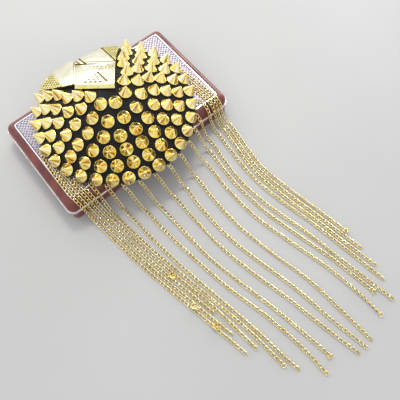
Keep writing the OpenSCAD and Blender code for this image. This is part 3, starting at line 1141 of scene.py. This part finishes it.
# Painted shade: faces towards each link's hole, and faces that look down, are marked for a darker
# gold.
inner = link.data.attributes.new("inner", "FLOAT", "FACE")
for face in link.data.polygons:
    towards_hole = -face.normal.to_2d().dot(face.center.to_2d().normalized())
    dark = towards_hole * hole_shade + max(0, -face.normal.z) * under_shade
    inner.data[face.index].value = min(1, max(0, dark))
bpy.ops.object.mode_set(mode="EDIT")
for sign in (-1, 1):
    pick(link, "verts", lambda corner: corner.co.x * sign > hair)
    stretch = (end_round + wire) / (link_half_width + wire)
    bpy.ops.transform.resize(value=(stretch, 1, 1), center_override=(0, 0, 0))
    bpy.ops.transform.translate(value=(sign * (link_half_length - end_round), 0, 0))
shape = bmesh.from_edit_mesh(link.data)
for corner in shape.verts:
    past = max(0, abs(corner.co.x) - flat_part) / (link_half_length - flat_part)
    corner.co.rotate(Matrix.Rotation(math.copysign(link_twist * past, corner.co.x), 3, "X"))
bmesh.update_edit_mesh(link.data)
bpy.ops.object.mode_set(mode="OBJECT")

# The loose end of a chain may hold a round ring, a last link that has turned crosswise, or a
# clump of links. Three chains have bunched links farther up, where they cross in the real fringe.
ring_radius = 0.00155
ringed = (4, 5, 7, 12)
ring_hold = 2.4 * wire
ring_rise = Vector((0, 0, 0.0002))
crossed = (8, 13)
crossed_hold = 0.5 * wire
crossed_rise = Vector((0, 0, 0.0007))
crossed_spin = 1.25
clumped = (18,)
clump_spins = ((0.9, 0.0007), (-0.8, 0.0012))
knotted = {3: (-0.0472, -0.127), 2: (-0.0475, -0.154), 1: (-0.0452, -0.174)}
knot_spins = (0.2, 1.0, 1.9, 2.6)
knot_spread = (0.0011, 0.0016)
end_ring = wire_ring("end_ring", ring_radius)

# Bright plating, with painted shade on the faces that turn towards each link's hole and on those that
# face down.
link_stops = (
    (0.05, (1.0, 0.89, 0.48)), (0.25, (0.94, 0.74, 0.25)),
    (0.6, (0.58, 0.37, 0.09)), (1.0, (0.22, 0.12, 0.025)),
)
chain_gold = gilt("chain_gold", link_stops, (0.1, 0.2), 0.00005, 500, ("inner", 0.75, 0, 0.3))

random.seed(7)
settled = 0.025
wander = 22
strands_apart = 3.7
widest_roll = 2.6
jitter = 0.07


def set_piece(pattern, middle, ahead, roll, tip=0.0, spin=0.0):
    """Copies a link or ring to a place, rolled, tipped and spun, on what the chain lies on."""
    across = Vector((0, 0, 1)).cross(ahead).normalized()
    above = ahead.cross(across)
    copy = pattern.copy()
    copy.data = pattern.data.copy()
    copy.data.transform(
        Matrix.Rotation(spin, 4, "Z") @ Matrix.Rotation(tip, 4, "Y") @ Matrix.Rotation(roll, 4, "X")
    )
    under = min(corner.co.z for corner in copy.data.vertices) + chain_thick / 2
    copy.data.transform(
        Matrix.Translation(middle + above * max(0, -under))
        @ Matrix((ahead, across, above)).transposed().to_4x4()
    )
    below_floor = min(0, min(corner.co.z for corner in copy.data.vertices))
    copy.data.transform(Matrix.Translation((0, 0, -below_floor)))
    bpy.context.collection.objects.link(copy)
    return copy


for number in range(1, len(on_ground) + 1):
    line = smooth_line(fringe_route(number - 1))
    run = [0.0]
    for a, b in zip(line, line[1:]):
        run.append(run[-1] + (b - a).length)

    def spot_at(distance):
        """The place on this chain's line, so far along it."""
        distance = min(max(distance, 0), run[-1])
        n = max(k for k, reached in enumerate(run[:-1]) if reached <= distance)
        return line[n].lerp(line[n + 1], (distance - run[n]) / (run[n + 1] - run[n]))

    links = []
    at = link_half_length + wire
    end_room = 2 * ring_radius if number in ringed else 0
    while at < run[-1] - link_half_length - wire - end_room:
        front, behind = spot_at(at + link_pitch / 2), spot_at(at - link_pitch / 2)
        free = min(1, max(0, at - settled) / settled)
        turned = noise(Vector((at * wander, number * strands_apart, 0)))
        roll = free * widest_roll * turned * abs(turned)
        roll += free * random.uniform(-jitter, jitter)
        links.append(set_piece(link, (front + behind) / 2, (front - behind).normalized(), roll))
        at += link_pitch
    ahead = (spot_at(run[-1]) - spot_at(run[-1] - link_pitch)).normalized()
    last = spot_at(at - link_pitch)
    if number in ringed:
        out = link_half_length + ring_radius - ring_hold
        links.append(set_piece(end_ring, last + ahead * out + ring_rise, ahead, 0.5, 0.12))
    if number in crossed:
        out = link_half_length - crossed_hold
        middle = last + ahead * out + crossed_rise
        links.append(set_piece(link, middle, ahead, 0.3, 0, crossed_spin))
    if number in clumped:
        for spin, rise in clump_spins:
            middle = last + ahead * link_half_length * 0.6 + Vector((0, 0, rise))
            links.append(set_piece(link, middle, ahead, 0.2, 0, spin))
    for spin in knot_spins if number in knotted else ():
        shift = [random.uniform(-spread, spread) for spread in knot_spread]
        middle = Vector(knotted[number]).to_3d() + Vector((*shift, on_floor + chain_thick))
        links.append(set_piece(link, middle, Vector((1, 0, 0)), 0.5 * math.sin(spin), 0.15, spin))
    strand = join_up(links)
    strand.name = strand.data.name = f"fringe_chain_{number}"
    hand_over(strand, "chain_gold", f"chain_{number}", chain_gold)
bpy.data.objects.remove(link)
bpy.data.objects.remove(end_ring)


# Studio floor and light
# The block stands on a plain pale floor in a bright neutral room. A broad window light stands
# behind the collar side, a low light to its right, and a small light hangs high between them.
floor_side = 12.0
floor_below = 0.00005
room_white = (0.97, 0.98, 1.0, 1)
room_strength = 0.98

bpy.ops.object.select_all(action="DESELECT")
bpy.ops.mesh.primitive_plane_add(size=floor_side, location=(0, 0, -floor_below))
floor = bpy.context.object
floor.name = "studio_floor"
floor_paint, shader, place = new_finish("floor_paint", Roughness=0.6)
drift = speckle(place, 6, 3)
wire_up(
    shader,
    Base_Color=tint(drift, (0.3, (0.43, 0.43, 0.424)), (0.7, (0.46, 0.46, 0.454))),
)
floor.data.materials.append(floor_paint)


def soft_light(name, place, aim, width, height, power, colour):
    """Hangs a soft light of a width and height at a place, turned to what it aims at."""
    lamp = bpy.data.lights.new(name, "AREA")
    lamp.shape = "RECTANGLE"
    lamp.size = width
    lamp.size_y = height
    lamp.energy = power
    lamp.color = colour
    holder = bpy.data.objects.new(name, lamp)
    holder.location = place
    holder.rotation_euler = (Vector(aim) - Vector(place)).to_track_quat("-Z", "Y").to_euler()
    bpy.context.collection.objects.link(holder)


soft_light(
    "window_light", (0.1, 1.05, 0.58), aim=(0, 0, 0.02),
    width=1.5, height=0.8, power=7.0, colour=(1.0, 0.99, 0.97),
)
soft_light(
    "side_light", (1.17, 0.47, 0.33), aim=(0, 0, 0.02),
    width=0.6, height=0.3, power=5.0, colour=(0.96, 0.98, 1.0),
)
soft_light(
    "top_light", (0.46, 0.46, 1.13), aim=(0, -0.05, 0),
    width=0.3, height=0.3, power=6.0, colour=(1.0, 0.98, 0.95),
)
room = bpy.data.worlds.new("room")
room.use_nodes = True
room_light = room.node_tree.nodes["Background"].inputs
room_light["Color"].default_value = room_white
room_light["Strength"].default_value = room_strength
bpy.context.scene.world = room
